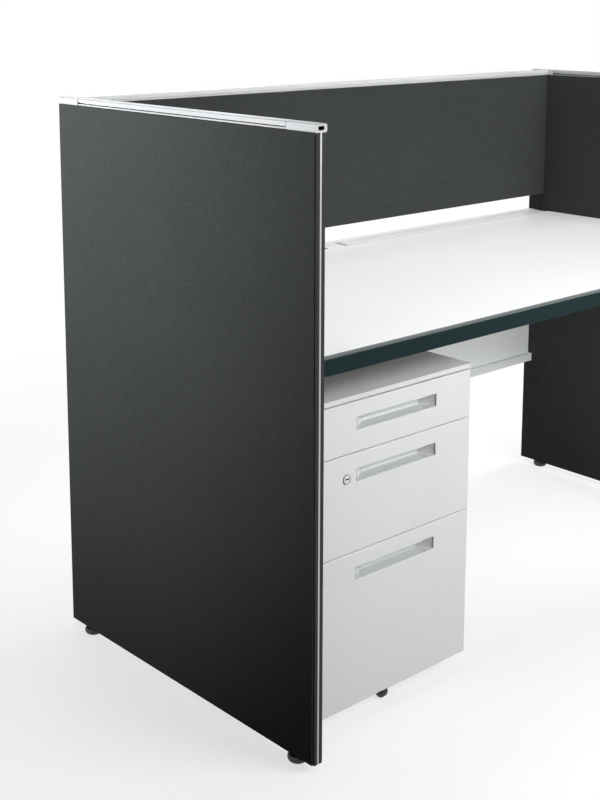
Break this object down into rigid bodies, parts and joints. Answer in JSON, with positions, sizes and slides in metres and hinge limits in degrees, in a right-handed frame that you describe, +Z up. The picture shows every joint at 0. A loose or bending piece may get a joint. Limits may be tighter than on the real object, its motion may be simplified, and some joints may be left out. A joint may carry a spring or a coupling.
{
  "type": "office desk",
  "caption": "Office desk between screen-height end panels, with a back screen, flip-up cable covers, a modesty panel and a rolling pedestal with drawers.",
  "frame": {"origin": "on the floor, below the middle of the desk's width and depth", "axes": "+X to the sitter's right along the worktop, +Y from the sitter to the back screen, +Z up"},
  "size_m": [1.511, 0.735, 1.096],
  "materials": {
    "fabric_charcoal": "woven charcoal fabric on a sheet",
    "board_core": "raw board",
    "post_grey": "dark grey coating",
    "bright_strip": "satin",
    "rail_white": "white coating",
    "bare_steel": "zinc plated",
    "foot_black": "moulded, satin",
    "worktop_white": "white laminate",
    "beam_dark": "dark blue-grey coating",
    "cover_white": "satin",
    "hinge_grey": "satin",
    "sheet_grey": "light grey coating",
    "pedestal_grey": "light grey coating",
    "front_grey": "light grey lacquer",
    "cup_grey": "moulded, light grey",
    "lock_chrome": "polished",
    "castor_black": "moulded, satin",
    "wheel_black": "moulded, glossy"
  },
  "bodies": {
    "desk": {"left_outer_cladding": "fabric_charcoal", "left_inner_cladding": "fabric_charcoal", "right_outer_cladding": "fabric_charcoal", "right_inner_cladding": "fabric_charcoal", "panel_cores": "board_core", "edge_posts": "post_grey", "edge_strips": "bright_strip", "foot_rails": "bare_steel", "left_top_rail": "rail_white", "right_top_rail": "rail_white", "left_rail_blocks": "rail_white", "right_rail_blocks": "rail_white", "screen_front_cladding": "fabric_charcoal", "screen_rear_cladding": "fabric_charcoal", "screen_core": "board_core", "screen_top_rail": "rail_white", "angle_brackets": "bare_steel", "worktop_board": "worktop_white", "front_beam": "beam_dark", "rear_beams": "beam_dark", "frame_rails": "beam_dark", "frame_bolts": "bare_steel", "cover_hinge_blocks": "hinge_grey", "cable_tray": "sheet_grey", "modesty_panel": "sheet_grey"},
    "left_front_foot": {"left_front_foot": "foot_black"},
    "left_rear_foot": {"left_rear_foot": "foot_black"},
    "right_front_foot": {"right_front_foot": "foot_black"},
    "right_rear_foot": {"right_rear_foot": "foot_black"},
    "left_cable_cover": {"left_cable_cover": "cover_white"},
    "right_cable_cover": {"right_cable_cover": "cover_white"},
    "pedestal": {"pedestal_carcass": "pedestal_grey", "carcass_members": "pedestal_grey", "pedestal_base": "bare_steel", "pedestal_top": "pedestal_grey", "slide_outer_rails": "bare_steel"},
    "file_slide_middle_rails": {"file_slide_middle_rails": "bare_steel"},
    "top_drawer": {"top_drawer_front": "front_grey", "top_drawer_box": "sheet_grey", "top_handle_cup": "cup_grey"},
    "middle_drawer": {"middle_drawer_front": "front_grey", "middle_drawer_box": "sheet_grey", "middle_handle_cup": "cup_grey", "lock_housing": "lock_chrome"},
    "file_drawer": {"file_drawer_front": "front_grey", "file_drawer_box": "sheet_grey", "file_handle_cup": "cup_grey", "fifth_castor_fork": "castor_black"},
    "lock_plug": {"lock_plug": "lock_chrome"},
    "lock_bolt": {"lock_bolt": "bare_steel"},
    "fifth_castor_wheel": {"fifth_castor_wheel": "wheel_black"},
    "front_left_castor_hood": {"front_left_castor_hood": "castor_black"},
    "front_left_castor_wheels": {"front_left_castor_wheels": "wheel_black"},
    "front_right_castor_hood": {"front_right_castor_hood": "castor_black"},
    "front_right_castor_wheels": {"front_right_castor_wheels": "wheel_black"},
    "rear_left_castor_hood": {"rear_left_castor_hood": "castor_black"},
    "rear_left_castor_wheels": {"rear_left_castor_wheels": "wheel_black"},
    "rear_right_castor_hood": {"rear_right_castor_hood": "castor_black"},
    "rear_right_castor_wheels": {"rear_right_castor_wheels": "wheel_black"}
  },
  "joints": [
    {"name": "left_front_foot_turn", "type": "hinge", "parent": "desk", "child": "left_front_foot", "pos_m": [-0.7375, -0.3165, 0], "axis": [0, 0, 1], "range_deg": [-540, 2160]},
    {"name": "left_rear_foot_turn", "type": "hinge", "parent": "desk", "child": "left_rear_foot", "pos_m": [-0.7375, 0.3065, 0], "axis": [0, 0, 1], "range_deg": [-540, 2160]},
    {"name": "right_front_foot_turn", "type": "hinge", "parent": "desk", "child": "right_front_foot", "pos_m": [0.7375, -0.3165, 0], "axis": [0, 0, 1], "range_deg": [-540, 2160]},
    {"name": "right_rear_foot_turn", "type": "hinge", "parent": "desk", "child": "right_rear_foot", "pos_m": [0.7375, 0.3065, 0], "axis": [0, 0, 1], "range_deg": [-540, 2160]},
    {"name": "left_cable_cover_lift", "type": "hinge", "parent": "desk", "child": "left_cable_cover", "pos_m": [-0.4045, 0.338, 0.716], "axis": [-1, 0, 0], "range_deg": [0, 105]},
    {"name": "right_cable_cover_lift", "type": "hinge", "parent": "desk", "child": "right_cable_cover", "pos_m": [0.3465, 0.338, 0.716], "axis": [-1, 0, 0], "range_deg": [0, 105]},
    {"name": "pedestal_roll_out", "type": "slide", "parent": "desk", "child": "pedestal", "axis": [0, -1, 0], "range_m": [0, 0.5]},
    {"name": "top_drawer_slide", "type": "slide", "parent": "pedestal", "child": "top_drawer", "axis": [0, -1, 0], "range_m": [0, 0.4]},
    {"name": "middle_drawer_slide", "type": "slide", "parent": "pedestal", "child": "middle_drawer", "axis": [0, -1, 0], "range_m": [0, 0.4]},
    {"name": "file_drawer_slide", "type": "slide", "parent": "pedestal", "child": "file_drawer", "axis": [0, -1, 0], "range_m": [0, 0.47]},
    {"name": "file_slide_middle_rails_slide", "type": "slide", "parent": "pedestal", "child": "file_slide_middle_rails", "axis": [0, -1, 0], "range_m": [0, 0.235]},
    {"name": "lock_plug_turn", "type": "hinge", "parent": "middle_drawer", "child": "lock_plug", "pos_m": [-0.607, -0.2975, 0.4665], "axis": [0, -1, 0], "range_deg": [0, 90]},
    {"name": "lock_bolt_slide", "type": "slide", "parent": "middle_drawer", "child": "lock_bolt", "axis": [-1, 0, 0], "range_m": [0, 0.01]},
    {"name": "front_left_castor_swivel", "type": "hinge", "parent": "pedestal", "child": "front_left_castor_hood", "pos_m": [-0.634, -0.2075, 0.054], "axis": [0, 0, 1], "continuous": true},
    {"name": "front_left_castor_roll", "type": "hinge", "parent": "front_left_castor_hood", "child": "front_left_castor_wheels", "pos_m": [-0.634, -0.1935, 0.02], "axis": [1, 0, 0], "continuous": true},
    {"name": "front_right_castor_swivel", "type": "hinge", "parent": "pedestal", "child": "front_right_castor_hood", "pos_m": [-0.329, -0.2075, 0.054], "axis": [0, 0, 1], "continuous": true},
    {"name": "front_right_castor_roll", "type": "hinge", "parent": "front_right_castor_hood", "child": "front_right_castor_wheels", "pos_m": [-0.329, -0.1935, 0.02], "axis": [1, 0, 0], "continuous": true},
    {"name": "rear_left_castor_swivel", "type": "hinge", "parent": "pedestal", "child": "rear_left_castor_hood", "pos_m": [-0.634, 0.2225, 0.054], "axis": [0, 0, 1], "continuous": true},
    {"name": "rear_left_castor_roll", "type": "hinge", "parent": "rear_left_castor_hood", "child": "rear_left_castor_wheels", "pos_m": [-0.634, 0.2365, 0.02], "axis": [1, 0, 0], "continuous": true},
    {"name": "rear_right_castor_swivel", "type": "hinge", "parent": "pedestal", "child": "rear_right_castor_hood", "pos_m": [-0.329, 0.2225, 0.054], "axis": [0, 0, 1], "continuous": true},
    {"name": "rear_right_castor_roll", "type": "hinge", "parent": "rear_right_castor_hood", "child": "rear_right_castor_wheels", "pos_m": [-0.329, 0.2365, 0.02], "axis": [1, 0, 0], "continuous": true},
    {"name": "fifth_castor_roll", "type": "hinge", "parent": "file_drawer", "child": "fifth_castor_wheel", "pos_m": [-0.4815, -0.2645, 0.014], "axis": [1, 0, 0], "continuous": true}
  ],
  "couplings": [
    {"joint": "file_slide_middle_rails_slide", "follows": "file_drawer_slide", "ratio": 0.5},
    {"joint": "lock_plug_turn", "follows": "lock_bolt_slide", "rad_per_m": 157.07}
  ]
}
